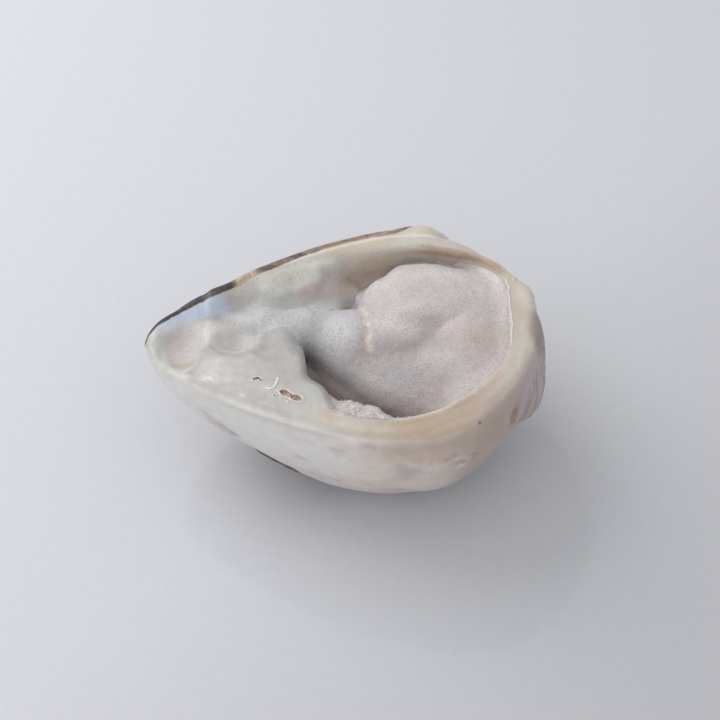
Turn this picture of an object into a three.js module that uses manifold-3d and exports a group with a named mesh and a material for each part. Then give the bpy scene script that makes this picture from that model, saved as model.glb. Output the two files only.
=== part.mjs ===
// A crystallized fossil snail shell, ground open along one side and lying on its rounded belly.
// The shell, its inner whorl and its filling are one mineral piece; a thin crust of sugar quartz
// lines the inner whorl. Millimetres. +X runs from the pointed spire to the blunt base, +Z is up,
// and the origin is under the middle of the shell, on the surface that it rests on.
import * as THREE from "three";
import { mergeVertices } from "three/addons/utils/BufferGeometryUtils.js";
import Module from "manifold-3d";

const wasm = await Module();
wasm.setup();

// ---- Driving dimensions -------------------------------------------------------------------------

const LENGTH = 45.6; // tip of the spire to the blunt base
const MIDDLE_X = 0.15; // middle of the length
const AXIS_Z = 15.1; // height of the widest line at mid-length
const AXIS_RISE = { spire: 0.0043, base: 0.075 }; // it rises towards both ends
const HALF_WIDTH = 15; // half width at mid-length
const WIDTH_GAIN = 0.28; // half width gained for each mm towards the base
const DEPTH = 14.6; // from the widest line down to the belly at mid-length
const DEPTH_GAIN = 0.17;
const FAR_BULGE = 1.055; // the far side stands out a little more than the near side
const BASE_ROUNDING = { fromX: 9, width: 0.036, deepFromX: 12, depth: 0.05 };

const CUT_Z = 19.6; // height of the ground and polished plane at x = 0
const CUT_SLOPE = 0.06; // its rise for each mm along +X
const REST_FLAT_Z = 0.9; // the belly is worn flat up to here, then lowered onto the surface

const WALL = 2.7; // shell wall round the main hollow
const CORE_COVER = 1; // shell left outside everything that fills the hollow
const CRUST = 0.5; // thickness of the crystal lining
const GAP = 0.3; // clearance between the lining and the shell
const CRUST_COVER = 1.2; // shell left outside the lining
const CRUST_FLOOR_Z = 9; // the lining fades into the shell below this height
const CRUST_START_X = -4.4; // and towards the spire it starts here

const SUTURE = { turns: 3.2, depth: 0.35, width: 1.3 }; // the spiral groove between the whorls

// The rounded inner whorl: [centre], [half sizes], power of the superellipsoid.
const INNER_WHORL = [
  { at: [11.4, 2.8, 9.6], half: [9.6, 11.6, 10.5], power: 2.9 },
  { at: [14.8, 0.6, 10.8], half: [6.7, 10.2, 9.3], power: 2.4 },
  { at: [6.7, 4.7, 12.2], half: [5.7, 7.9, 7.6], power: 2.3 },
];
// The neck that joins it to the spire: thin end, thick end and their radii.
const NECK = [
  { from: [-9, 5.2, 16.6], to: [-4.6, 4.9, 16], radii: [1, 1.7] },
  { from: [-4.6, 4.9, 16], to: [0.2, 2.8, 13.6], radii: [1.7, 4.8] },
  { from: [0.2, 2.8, 13.6], to: [8, 1, 10.5], radii: [4.8, 9] },
];
// The main hollow is the shell less its wall, within this plan and short of the pillar.
const HOLLOW_PLAN = { at: [6.3, 0.8, 14], half: [14.2, 12.4, 26], turn: 40 };
const HOLLOW_SPIRE_END = { at: [12, 2, 14], half: [17, 19, 26] };
// A shelf of filling that stands out under the near rim.
const NEAR_LEDGE = { at: [0.6, -12.4, 15.6], half: [8.4, 5, 3.1] };
// Hollows of the spire: the trough behind the neck, the saddle over the pillar and two chambers.
const SPIRE_HOLLOWS = [
  { at: [0, 9.3, 18.6], half: [5.5, 3.6, 4], turn: -18 },
  { at: [-6.6, 3.5, 21.2], half: [4.6, 7.2, 3.6] },
  { at: [-12.6, 2.4, 19.4], half: [5, 5.2, 2.9] },
  { at: [-17.9, -0.4, 18.9], half: [2.7, 4.5, 2] },
];
const FAR_SLOPE = { from: [-17, 4.2, 20.2], to: [-2, 9.6, 19.8], radii: [1.6, 3.6] };
// Lumps of chalcedony in the far trough: x, y, z, radius.
const LUMPS = [
  [-1.9, 11.2, 15.4, 1.9],
  [0.3, 9.6, 14.6, 1.9],
  [-4.8, 9.8, 15.3, 2.2],
  [-2.6, 9.2, 14.6, 1.8],
  [-7.5, 9.2, 16.2, 1.6],
];
// A corner of outer shell that stands out past the far rim.
const RIM_CORNER = { at: [8.9, 15.6, 18.6], half: [4.6, 1.6, 2.2] };
// Growth plates of the lip at the base end.
const GROWTH_PLATES = [
  { at: [19.3, 1.2, 13.6], half: [3.5, 7.4, 5.6] },
  { at: [20.2, 0.2, 13], half: [3, 5.4, 4.6] },
];
// Small pits in the polished near face: x, y, half length, half width, turn in degrees.
const PITS = [
  [-9.9, -6.9, 0.55, 0.25, 10],
  [-8, -7.4, 0.4, 0.7, -30],
  [-6.3, -8.8, 0.8, 0.45, -25],
  [-4.9, -9.4, 0.6, 0.4, -15],
];
const PIT_DEPTH = 0.45;

// ---- Geometry helpers ---------------------------------------------------------------------------

// A closed three.js geometry as a solid that can be joined and cut.
function solid(geometry) {
  const bare = geometry.clone();
  bare.deleteAttribute("normal");
  bare.deleteAttribute("uv");
  const merged = mergeVertices(bare, 1e-4);
  return new wasm.Manifold(
    new wasm.Mesh({
      numProp: 3,
      vertProperties: merged.attributes.position.array,
      triVerts: new Uint32Array(merged.index.array),
    }),
  );
}

// A sphere geometry whose every unit vertex is moved by place(vertex).
function shaped(around, along, place) {
  const sphere = new THREE.SphereGeometry(1, around, along);
  sphere.rotateZ(-Math.PI / 2); // the poles lie on X
  const vertex = new THREE.Vector3();
  const positions = sphere.attributes.position;
  for (let i = 0; i < positions.count; i++) {
    vertex.fromBufferAttribute(positions, i);
    place(vertex);
    positions.setXYZ(i, vertex.x, vertex.y, vertex.z);
  }
  return solid(sphere);
}

// A superellipsoid; power 2 is an ellipsoid and more is boxier. turn is about Z, in degrees.
function ball({ at, half, power = 2, turn = 0, around = 20, along = 12, grow = 0 }) {
  const spin = THREE.MathUtils.degToRad(turn);
  const centre = new THREE.Vector3(...at);
  const size = new THREE.Vector3(...half).addScalar(grow);
  const axisZ = new THREE.Vector3(0, 0, 1);
  return shaped(around, along, (v) => {
    const p = power;
    const norm = (Math.abs(v.x) ** p + Math.abs(v.y) ** p + Math.abs(v.z) ** p) ** (1 / p);
    v.divideScalar(norm).multiply(size).applyAxisAngle(axisZ, spin).add(centre);
  });
}

// A cone with a round cap at each end: a sphere pulled apart at its equator.
function taper({ from, to, radii, around = 20, along = 8, grow = 0 }) {
  const start = new THREE.Vector3(...from);
  const end = new THREE.Vector3(...to);
  const direction = end.clone().sub(start).normalize();
  const turn = new THREE.Quaternion().setFromUnitVectors(new THREE.Vector3(1, 0, 0), direction);
  return shaped(around, along, (v) => {
    const atEnd = v.x > 1e-6;
    v.multiplyScalar((atEnd ? radii[1] : radii[0]) + grow).applyQuaternion(turn);
    v.add(atEnd ? end : start);
  });
}

// Everything above the ground plane.
function aboveCut() {
  const size = 2 * LENGTH;
  const block = new THREE.BoxGeometry(size, size, size);
  block.translate(0, 0, size / 2);
  block.rotateY(-Math.atan(CUT_SLOPE));
  block.translate(0, 0, CUT_Z);
  return solid(block);
}

const union = (solids) => solids.reduce((sum, next) => sum.add(next));
const largest = (solids) => solids.reduce((big, next) => (next.volume() > big.volume() ? next : big));

// ---- The outer form -----------------------------------------------------------------------------

// The teardrop's half width, depth and axis height at x, for a shell this much thinner than full size.
function section(x, share, inset) {
  const { fromX, width, deepFromX, depth } = BASE_ROUNDING;
  const halfWidth = HALF_WIDTH + WIDTH_GAIN * x - width * Math.max(0, x - fromX) ** 2;
  const down = DEPTH + DEPTH_GAIN * x - depth * Math.max(0, x - deepFromX) ** 2;
  return {
    halfWidth: share * (halfWidth - inset),
    down: share * (down - inset),
    axisZ: AXIS_Z + AXIS_RISE.spire * Math.min(x, 0) ** 2 + AXIS_RISE.base * Math.max(x, 0),
  };
}

// How far the spiral suture sinks the surface at x and angle (radians) round the shell.
function sutureDepth(x, angle) {
  const along = (x - MIDDLE_X + LENGTH / 2) / LENGTH;
  const phase = Math.sqrt(along) * SUTURE.turns - angle / (2 * Math.PI);
  const off = (phase - Math.round(phase)) * (LENGTH / SUTURE.turns) * Math.sqrt(along);
  const fade = THREE.MathUtils.smoothstep(along, 0.04, 0.15);
  return SUTURE.depth * fade * Math.exp(-((off / SUTURE.width) ** 2));
}

function teardrop({ inset = 0, around = 28, along = 18, grooved = false }) {
  const half = LENGTH / 2 - inset;
  return shaped(around, along, (v) => {
    const share = Math.sqrt(Math.max(0, 1 - v.x * v.x));
    const x = MIDDLE_X + half * v.x;
    const angle = share > 1e-6 ? Math.atan2(v.z, v.y) : 0;
    const groove = grooved ? sutureDepth(x, angle) * share : 0;
    const { halfWidth, down, axisZ } = section(x, share, inset);
    const side = Math.cos(angle) > 0 ? FAR_BULGE : 1;
    v.set(
      x,
      share > 1e-6 ? (halfWidth * side - groove) * Math.cos(angle) : 0,
      share > 1e-6 ? axisZ + (down - groove) * Math.sin(angle) : axisZ,
    );
  });
}

// The rough lip at the base end: growth plates that stand out one past the other.
function baseLip() {
  return union(GROWTH_PLATES.map((plate) => ball({ ...plate, power: 3, around: 20, along: 12 })));
}

// Everything below the worn flat under the belly.
function belowRest() {
  const block = new THREE.BoxGeometry(LENGTH, LENGTH, LENGTH);
  block.translate(0, 0, REST_FLAT_Z - LENGTH / 2);
  return solid(block);
}

// ---- The hollows --------------------------------------------------------------------------------

function mainHollow() {
  return teardrop({ inset: WALL })
    .intersect(ball(HOLLOW_PLAN))
    .intersect(ball(HOLLOW_SPIRE_END))
    .subtract(ball(NEAR_LEDGE));
}

function spireHollows() {
  return union(SPIRE_HOLLOWS.map(ball)).add(taper(FAR_SLOPE));
}

function lumps() {
  return union(
    LUMPS.map(([x, y, z, radius]) =>
      ball({ at: [x, y, z], half: [radius, radius, radius], around: 12, along: 8 }),
    ),
  );
}

function pits() {
  return union(
    PITS.map(([x, y, halfLength, halfWidth, turn]) =>
      ball({
        at: [x, y, CUT_Z + CUT_SLOPE * x],
        half: [halfLength, halfWidth, PIT_DEPTH],
        turn,
        around: 10,
        along: 6,
      }),
    ),
  );
}

// ---- The inner whorl, its neck and their crystal lining -----------------------------------------

// The whorl and its neck, grown or shrunk all over.
function whorlForm(grow) {
  const whorl = INNER_WHORL.map((form) => ball({ ...form, around: 22, grow }));
  const neck = NECK.map((form) => taper({ ...form, grow }));
  return union([...whorl, ...neck]);
}

// The part of the inside that the lining covers, grown by margin.
function liningZone(margin) {
  const block = new THREE.BoxGeometry(LENGTH, LENGTH, LENGTH);
  block.translate(
    LENGTH / 2 + CRUST_START_X - margin,
    0,
    LENGTH / 2 + CRUST_FLOOR_Z - margin,
  );
  return solid(block).intersect(teardrop({ inset: CRUST_COVER - margin }));
}

function makeShell() {
  const room = whorlForm(GAP).intersect(liningZone(GAP));
  const inside = teardrop({ inset: CORE_COVER });
  const plainWhorl = whorlForm(0).subtract(liningZone(GAP));
  const core = whorlForm(-CRUST - GAP).add(plainWhorl).intersect(inside);
  return teardrop({ around: 48, along: 30, grooved: true })
    .add(baseLip())
    .subtract(mainHollow())
    .subtract(spireHollows())
    .add(lumps().intersect(inside))
    .subtract(room)
    .add(core)
    .add(ball(RIM_CORNER))
    .subtract(aboveCut())
    .subtract(pits())
    .subtract(belowRest());
}

function makeLining() {
  const skin = whorlForm(0).subtract(whorlForm(-CRUST));
  const lining = skin.intersect(liningZone(0)).subtract(aboveCut());
  return largest(lining.decompose());
}

// ---- The named pieces ---------------------------------------------------------------------------

const MATERIALS = {
  fossil_shell: { color: 0xc9c4bd, roughness: 0.35, metalness: 0 },
  druzy_crust: { color: 0xcbc4c1, roughness: 0.55, metalness: 0 },
};

function namedMesh(name, made) {
  const mesh = made.getMesh();
  const geometry = new THREE.BufferGeometry();
  geometry.setAttribute("position", new THREE.BufferAttribute(mesh.vertProperties, 3));
  geometry.setIndex(new THREE.BufferAttribute(mesh.triVerts, 1));
  geometry.computeVertexNormals();
  geometry.computeBoundingBox();
  const piece = new THREE.Mesh(geometry, new THREE.MeshStandardMaterial(MATERIALS[name]));
  piece.name = name;
  return piece;
}

const shell = namedMesh("fossil_shell", makeShell());
const lining = namedMesh("druzy_crust", makeLining());

// The middle of the shell's box goes over the origin, and its worn flat onto the surface.
const fossil = new THREE.Group();
fossil.name = "crystallized_fossil";
fossil.add(shell, lining);
const middle = shell.geometry.boundingBox.getCenter(new THREE.Vector3());
fossil.position.set(-middle.x, -middle.y, -REST_FLAT_Z);

const part = new THREE.Group();
part.add(fossil);

export default part;
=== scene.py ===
import math

import bmesh
import bpy
import numpy as np
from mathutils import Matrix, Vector


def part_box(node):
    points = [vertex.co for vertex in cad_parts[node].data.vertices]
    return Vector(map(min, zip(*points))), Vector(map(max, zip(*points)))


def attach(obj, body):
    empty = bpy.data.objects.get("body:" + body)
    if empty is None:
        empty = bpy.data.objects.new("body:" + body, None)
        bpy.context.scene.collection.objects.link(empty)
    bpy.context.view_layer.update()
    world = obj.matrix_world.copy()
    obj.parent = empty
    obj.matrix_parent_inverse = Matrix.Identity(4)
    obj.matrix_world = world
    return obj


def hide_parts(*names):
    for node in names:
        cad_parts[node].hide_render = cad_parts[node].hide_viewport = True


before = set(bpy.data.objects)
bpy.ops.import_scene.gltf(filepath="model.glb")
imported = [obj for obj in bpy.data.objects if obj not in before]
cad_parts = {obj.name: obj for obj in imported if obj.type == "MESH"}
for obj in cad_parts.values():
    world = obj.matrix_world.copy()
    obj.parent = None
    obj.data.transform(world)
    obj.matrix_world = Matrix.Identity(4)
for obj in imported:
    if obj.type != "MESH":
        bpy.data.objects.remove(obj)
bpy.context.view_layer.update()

MM = 0.001
FAR_AWAY = 99.0  # mm, further than any place on the shell

# ---- Driving dimensions, in millimetres ---------------------------------------------------------

LENGTH = 45.6  # tip of the spire to the blunt base
MIDDLE_X = 0.15
AXIS_Z = 15.1  # height of the widest line at mid-length
AXIS_RISE_SPIRE, AXIS_RISE_BASE = 0.0043, 0.075
HALF_WIDTH, WIDTH_GAIN = 15.0, 0.28
DEPTH, DEPTH_GAIN = 14.6, 0.17
FAR_BULGE = 1.055  # the far side stands out a little more than the near side
BASE_NARROWS_FROM, BASE_NARROWS = 9.0, 0.036
BASE_RISES_FROM, BASE_RISES = 12.0, 0.05

CUT_Z, CUT_SLOPE = 19.6, 0.06  # the ground and polished plane
REST_FLAT_Z = 0.9  # the belly is worn flat up to here
WALL = 2.7  # shell wall round the main hollow
CRUST_SINK, CRUST_DEPTH = 0.35, 0.9  # how the crystal lining is let into the stone
CRUST_START_X = -11.4
CRUST_EDGE_SINK = 0.1  # its edge dips just under the stone
CRUST_FLOOR_Z = 7.6

SHELL_STEP, CRUST_STEP = 0.305, 0.23  # mesh size on the stone and on the lining
SHELL_ROOM = (-23.4, -16.4, 0.2), (24.0, 18.0, 22.0)  # corners of the room that each is looked for in
CRUST_ROOM = (-13.6, -13.0, 6.6), (22.5, 15.5, 21.6)

SUTURE_TURNS, SUTURE_DEPTH, SUTURE_WIDTH = 3.2, 0.35, 1.3
GROWTH_LINES, GROWTH_LINE_HEIGHT = 64, 0.05  # round the shell
WEATHERING = 0.14
PLATES_PER_MM, PLATE_HEIGHT = 0.8, 0.21  # the thin growth plates at the base
LEDGE_LUMPS = 0.65

# Balls: centre, half sizes, power (2 is an ellipsoid and more is boxier), turn about Z in degrees.
GROWTH_PLATES = [
    ((19.3, 1.2, 13.6), (3.5, 7.4, 5.6), 3, 0),
    ((20.2, 0.2, 13.0), (3.0, 5.4, 4.6), 3, 0),
]
RIM_CORNER = ((8.9, 15.7, 18.6), (3.7, 1.45, 2.2), 2, 0)
BASE_CORNER = ((18.8, 4.9, 18.3), (3.4, 3.3, 3.0), 2.3, 0)
FAR_EDGE_Y = 17.2  # furthest point of the far rim
WHORL = ((13.0, 3.8, 9.1), (10.5, 10.8, 8.9), 3.0, 0)
WHORL_SHOULDER = ((16.8, -4.0, 11.8), (7.5, 12.9, 8.2), 2.4, 0)
WHORL_FAR = ((16.4, 2.9, 10.4), (5.3, 9.5, 9.6), 3.0, 0)
WHORL_TOP = ((11.6, 6.55, 10.6), (7.4, 6.0, 8.5), 2.0, 0)
WHORL_LOBE = ((7.55, 4.7, 12.75), (6.45, 7.9, 6.5), 2.7, 0)
WHORL_FLARE = ((6.3, -1.2, 9.75), (7.4, 6.4, 7.1), 2.0, 0)
# The neck from the spire to the whorl: thin end, thick end and their radii.
NECK = [
    ((-13.4, 4.3, 16.4), (-9.0, 4.1, 16.5), (0.3, 1.7)),
    ((-9.0, 4.1, 16.5), (-4.6, 3.6, 15.8), (1.7, 2.4)),
    ((-4.6, 3.6, 15.8), (0.2, 2.8, 13.6), (2.4, 4.8)),
]
HOLLOW_PLAN = ((6.3, 0.8, 14.0), (14.2, 12.4, 60.0), 2, 40)
HOLLOW_BASE_END = ((4.0, 3.0, 14.0), (14.6, 17.0, 60.0), 2.6, 0)
HOLLOW_END_X = -5.0  # the pillar stands here, between the hollow and the spire
NEAR_LEDGE = ((0.8, -12.6, 14.8), (9.5, 5.0, 3.8), 2, -18)
SIDE_LEDGE = ((6.9, -13.2, 15.8), (3.5, 3.0, 3.1), 2, 0)
NEAR_CORNER = ((-4.6, -10.0, 14.0), (3.2, 3.6, 14.0), 2.2, 0)
FAR_BANK = ((-5.4, 10.8, 6.0), (6.6, 6.4, 16.0), 2.6, 0)  # it closes the hollow behind the neck
# The floors of the two deep gaps beside the inner whorl: ends and their radii.
GAP_FLOORS = [
    ((-5.8, -1.2, 12.0), (5.5, -9.8, 9.6), (2.5, 2.8)),
    ((-0.5, 9.6, 12.6), (4.5, 12.2, 12.2), (2.4, 2.6)),
]
FAR_WALL_EXTRA = 0.5  # the wall is thicker along the far side
BASE_WALL_LESS = 2.0  # and thinner at the far end of the base
LIP_WIDER = 0.7  # than the wall, half way along the base
SADDLE = ((-7.2, 3.4, 20.0), (4.4, 6.3, 3.4), 2, 0)
PILLAR = ((-7.4, -4.5, 17.7), (-7.3, 2.4, 16.1), (2.5, 2.0))
FIRST_CHAMBER = ((-12.6, 2.0, 19.2), (2.5, 3.6, 1.8), 2.2, -12)
FIRST_CHAMBER_DEEP = ((-11.3, 1.6, 18.9), (1.9, 3.4, 2.5), 2.2, -12)
LAST_CHAMBER = ((-17.9, -0.1, 18.9), (1.9, 3.9, 1.7), 2.0, -10)
# The valley between the neck and the far rim: its ends and their radii.
FAR_SLOPE = [
    ((-17.5, 2.5, 20.6), (-11.0, 4.8, 21.0), (2.8, 4.2)),
    ((-11.0, 4.8, 21.0), (-5.0, 6.3, 21.0), (4.2, 4.8)),
    ((-5.0, 6.3, 21.0), (0.5, 7.4, 20.6), (4.8, 4.8)),
]
LUMPS = [
    (0.2, 10.2, 14.6, 1.5),
    (-1.8, 9.6, 14.9, 1.5),
    (-2.4, 11.8, 16.0, 0.9),
    (-4.6, 9.6, 15.2, 1.6),
]
# Small pits in the polished near face: x, y, half length, half width, turn in degrees.
PITS = [
    (-9.85, -6.25, 0.20, 0.16, 20),
    (-9.45, -6.15, 0.24, 0.17, -10),
    (-9.15, -6.4, 0.13, 0.12, 0),
    (-6.45, -8.3, 0.50, 0.42, -20),
    (-5.15, -9.1, 0.66, 0.40, -20),
    (-5.85, -8.72, 0.40, 0.30, -25),
    (-5.92, -9.55, 0.09, 0.09, 0),
    (-7.5, -8.6, 0.10, 0.08, 0),
]
PIT_DEPTH = 0.32
# Lines in plan that markings follow: the white hook on the near face, the brown shade and the white
# line of the far trough, and the blue of the spire.
HOOK = [(-7.22, -6.25), (-7.42, -7.1), (-7.64, -7.5), (-8.1, -7.74), (-8.43, -7.5)]
FAR_SHADE = [(8.5, 14.3), (12.4, 12.5), (16.9, 10.2), (18.2, 9.0)]
FAR_LIGHT = [(-9.0, 9.0), (-6.9, 9.8), (-4.0, 11.2), (-2.6, 12.2)]
BLUE_LINE = [(-21.2, 2.2), (-19.5, 3.6), (-17.0, 4.9), (-14.6, 6.0)]
# A dark speck on the near rim and a pale crumb on the lip: where and half sizes.
SPECK = ((14.5, -13.0, 19.9), (0.24, 0.24, 0.4))
LIP_CRUMB = ((19.8, 7.2, 20.4), (0.6, 0.6, 0.8))
# Chips out of the near wall: where, half sizes and depth.
CHIPS = [
    ((-14.2, -7.8, 12.4), (1.5, 1.5, 0.8), 0.35),
    ((-12.1, -9.3, 12.6), (1.1, 1.5, 0.7), 0.30),
    ((-14.8, -8.1, 15.4), (1.0, 1.4, 0.7), 0.22),
    ((-0.3, -14.8, 16.2), (0.9, 1.4, 0.5), 0.22),
    ((12.8, -15.0, 15.6), (1.0, 1.4, 0.6), 0.15),
    ((18.7, -9.8, 16.7), (0.7, 1.1, 1.8), 0.45),
]

# Where the shell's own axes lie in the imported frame, from the CAD shell's box.
low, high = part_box("fossil_shell")
SEAT = np.array([
    MIDDLE_X - LENGTH / 2 - low.x / MM,
    FAR_EDGE_Y - high.y / MM,
    REST_FLAT_Z - low.z / MM,
])

# ---- Fields -------------------------------------------------------------------------------------


def ease(start, end, x):
    """0 at the start and 1 at the end, with an even rise between them."""
    t = np.clip((x - start) / (end - start), 0, 1)
    return t * t * (3 - 2 * t)


def joined(a, b, fillet):
    """The union of two fields, with a fillet of this size between them."""
    h = np.clip(0.5 + 0.5 * (b - a) / fillet, 0, 1)
    return b * (1 - h) + a * h - fillet * h * (1 - h)


def common(a, b, fillet):
    """The overlap of two fields, with its edges rounded."""
    return -joined(-a, -b, fillet)


def less(a, b, fillet):
    """Field a with field b cut out of it."""
    return common(a, -b, fillet)


def ball(P, at, half, power=2, turn=0):
    q = P - np.array(at, float)
    c, s = math.cos(math.radians(turn)), math.sin(math.radians(turn))
    q = np.stack([q[:, 0] * c + q[:, 1] * s, q[:, 1] * c - q[:, 0] * s, q[:, 2]], 1)
    half = np.array(half, float)
    a = np.abs(q) / half
    size = (a**power).sum(1) ** (1 / power)
    steepness = np.sqrt(((a ** (power - 1) / half) ** 2).sum(1)) / (size ** (power - 1) + 1e-9)
    return (size - 1) / (steepness + 1e-9)


def taper(P, start, end, radii):
    """A round cone with a ball at each end."""
    start, end = np.array(start, float), np.array(end, float)
    along = end - start
    t = np.clip(((P - start) @ along) / (along @ along), 0, 1)
    radius = radii[0] + (radii[1] - radii[0]) * t * t * (3 - 2 * t)
    return np.linalg.norm(P - start - t[:, None] * along, axis=1) - radius


def section(x):
    """The teardrop's half width, depth below the widest line, and that line's height, at x."""
    share = np.sqrt(1 - np.clip((x - MIDDLE_X) / (LENGTH / 2), -0.99999, 0.99999) ** 2)
    width = HALF_WIDTH + WIDTH_GAIN * x - BASE_NARROWS * np.maximum(0, x - BASE_NARROWS_FROM) ** 2
    depth = DEPTH + DEPTH_GAIN * x - BASE_RISES * np.maximum(0, x - BASE_RISES_FROM) ** 2
    axis = AXIS_Z + AXIS_RISE_SPIRE * np.minimum(x, 0) ** 2 + AXIS_RISE_BASE * np.maximum(x, 0)
    return share * width, share * depth, axis


def teardrop(P, inset=0.0):
    x, y, z = P.T
    width, depth, axis = section(x)
    width = np.maximum(width - inset, 0.05) * np.where(y > 0, FAR_BULGE, 1)
    depth = np.maximum(depth - inset, 0.05)
    d = (np.sqrt((y / width) ** 2 + ((z - axis) / depth) ** 2) - 1) * np.minimum(width, depth)
    past_end = np.maximum(np.abs(x - MIDDLE_X) - LENGTH / 2 + inset, 0)
    return np.where(past_end > 0, np.hypot(np.maximum(d, 0), past_end), d * 0.85)


def outside(P):
    """The whole shell before it was ground open, with the lip and the far rim's corner."""
    d = teardrop(P)
    for plate in GROWTH_PLATES:
        d = joined(d, ball(P, *plate), 0.5)
    return joined(joined(d, ball(P, *RIM_CORNER), 0.5), ball(P, *BASE_CORNER), 1.0)


def above_cut(P):
    """Height over the ground plane."""
    return (P[:, 2] - CUT_Z - CUT_SLOPE * P[:, 0]) / math.hypot(1, CUT_SLOPE)


def whorl_parts(P):
    """The rounded inner whorl with the neck that joins it to the spire, and its lobe."""
    whorl = joined(ball(P, *WHORL), ball(P, *WHORL_SHOULDER), 4.0)
    whorl = joined(joined(whorl, ball(P, *WHORL_FAR), 1.5), ball(P, *WHORL_TOP), 3.5)
    neck = taper(P, *NECK[0])
    for part in NECK[1:]:
        neck = joined(neck, taper(P, *part), 1.0)
    whorl = joined(joined(whorl, neck, 2.5), ball(P, *WHORL_FLARE), 3.5)
    return whorl, ball(P, *WHORL_LOBE)


def inner_whorl(P):
    # The lobe stands over the neck with a sharp crease, which fades out where the two run together.
    rest, lobe = whorl_parts(P)
    faded = ease(3.5, 6.5, P[:, 0]) * ease(0.8, 4.0, P[:, 1])
    return joined(rest, lobe, 0.3 + 4.5 * faded)


def hollows(P):
    """The main hollow and the hollows of the spire, before anything fills them."""
    x, y, _ = P.T
    wall = WALL + FAR_WALL_EXTRA * ease(5, 10, y) * ease(15, 10, x)
    wall = wall - BASE_WALL_LESS * ease(3.5, 8, y) * ease(13, 18, x)
    wall = wall + LIP_WIDER * ease(-4, 0, y) * ease(6, 3, y) * ease(14, 18, x)
    room = common(teardrop(P, wall), ball(P, *HOLLOW_PLAN), 0.8)
    room = common(room, ball(P, *HOLLOW_BASE_END), 0.8)
    room = common(room, HOLLOW_END_X - x - 0.15 * (y + 0.5), 1.0)
    for bank, fillet in ((NEAR_LEDGE, 0.6), (SIDE_LEDGE, 0.8), (NEAR_CORNER, 1.4), (FAR_BANK, 0.8)):
        room = less(room, ball(P, *bank), fillet)
    for valley in FAR_SLOPE:
        room = joined(room, taper(P, *valley), 1.0)
    room = joined(room, ball(P, *SADDLE), 0.8)
    chamber = joined(ball(P, *FIRST_CHAMBER), ball(P, *FIRST_CHAMBER_DEEP), 1.5)
    room = joined(room, chamber, 0.5)
    return joined(room, ball(P, *LAST_CHAMBER), 0.5)


def open_space(P):
    """What is left open once the inner whorl and the lumps have grown into the hollows."""
    x, y, _ = P.T
    # On the base side the whorl grew against the wall, so that its fillet there is broad.
    against_wall = np.maximum(ease(8, 15, x) * ease(9, 3, y), ease(12, 17, x))
    merging = 1.3 * against_wall + 1.2 * ease(-7, -10, x)
    space = less(hollows(P), inner_whorl(P), 0.5 + merging)
    space = less(space, taper(P, *PILLAR), 1.3)
    for gap_floor in GAP_FLOORS:
        space = less(space, taper(P, *gap_floor), 1.5)
    for *at, radius in LUMPS:
        space = less(space, ball(P, at, (radius, radius, radius)), 1.0)
    return space


def stone(P):
    """The whole fossil: outside, ground plane, worn belly and hollows."""
    x, y, z = P.T
    near = ease(4, -4, y)
    round_rim = 0.3 + 0.9 * near + 0.8 * ease(12, 18, x) * ease(8, 2, y)
    round_rim = round_rim + 2.3 * ease(9.5, 12, x) * ease(18.5, 16, x) * ease(7, 10, y)
    d = common(outside(P), above_cut(P), round_rim)
    d = common(d, REST_FLAT_Z - z, 0.8)
    soft_edge = 0.5 + 0.4 * ease(-9, -12, x) + 1.0 * ease(5, 9, y) * ease(9, 3, x)
    soft_edge = soft_edge + 1.2 * ease(-15.5, -16.5, x)
    soft_edge = soft_edge + ease(-11, -8.6, x) * ease(-5.2, -6.8, x) * ease(2, -0.5, y)
    return less(d, open_space(P), soft_edge)


def ragged_lip(P):
    """Distance from the edge of the main hollow, along which the crystals end in a ragged line."""
    return hollows(P) + 0.24 * layered_noise(P, 1.0, 2, 57)


def lined(P):
    """Share of the surface at P that the crystal lining covers, from 0 to 1."""
    share = ease(0.8, 0.3, inner_whorl(P)) * ease(-0.5, -1.2, outside(P))
    share *= ease(CRUST_START_X - 0.8, CRUST_START_X + 2.4, P[:, 0])
    share *= ease(0.2, -0.2, ragged_lip(P))
    return share * ease(CRUST_FLOOR_Z, CRUST_FLOOR_Z + 1, P[:, 2])


def shell_solid(P):
    return stone(P) + CRUST_SINK * lined(P)


def lining_solid(P):
    d = stone(P)
    share = lined(P)
    layer = common(d + CRUST_EDGE_SINK * (1 - share), -(d + CRUST_DEPTH), 0.1)
    edge = np.maximum(inner_whorl(P) - 0.9, CRUST_START_X - 1 - P[:, 0])
    edge = np.maximum(edge, outside(P) + 0.6)
    return common(layer, np.maximum(edge, CRUST_FLOOR_Z - 0.2 - P[:, 2]), 0.1)


# ---- Noise --------------------------------------------------------------------------------------


def noise(P, size, seed=0):
    """Smooth noise from -1 to 1 with features of this size in mm."""
    q = P / size + 17.3 * seed
    cell = np.floor(q).astype(np.int64)
    f = q - cell
    f = f * f * f * (f * (f * 6 - 15) + 10)

    def corner(dx, dy, dz):
        n = (cell[:, 0] + dx) * 374761393 + (cell[:, 1] + dy) * 668265263
        n = (n + (cell[:, 2] + dz) * 2147483629 + seed * 974634777) & 0xFFFFFFFF
        n = ((n ^ (n >> 13)) * 1274126177) & 0xFFFFFFFF
        return ((n ^ (n >> 16)) & 0xFFFF) / 32767.5 - 1

    def blend(a, b, t):
        return a + (b - a) * t

    rows = [
        blend(corner(0, dy, dz), corner(1, dy, dz), f[:, 0]) for dz in (0, 1) for dy in (0, 1)
    ]
    return blend(blend(rows[0], rows[1], f[:, 1]), blend(rows[2], rows[3], f[:, 1]), f[:, 2])


def layered_noise(P, size, layers=3, seed=0):
    total, weight, share = 0, 1.0, 0.0
    for i in range(layers):
        total = total + weight * noise(P, size, seed + i)
        share += weight
        size, weight = size / 2, weight / 2
    return total / share


# ---- Covering a field with a mesh ---------------------------------------------------------------


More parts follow.
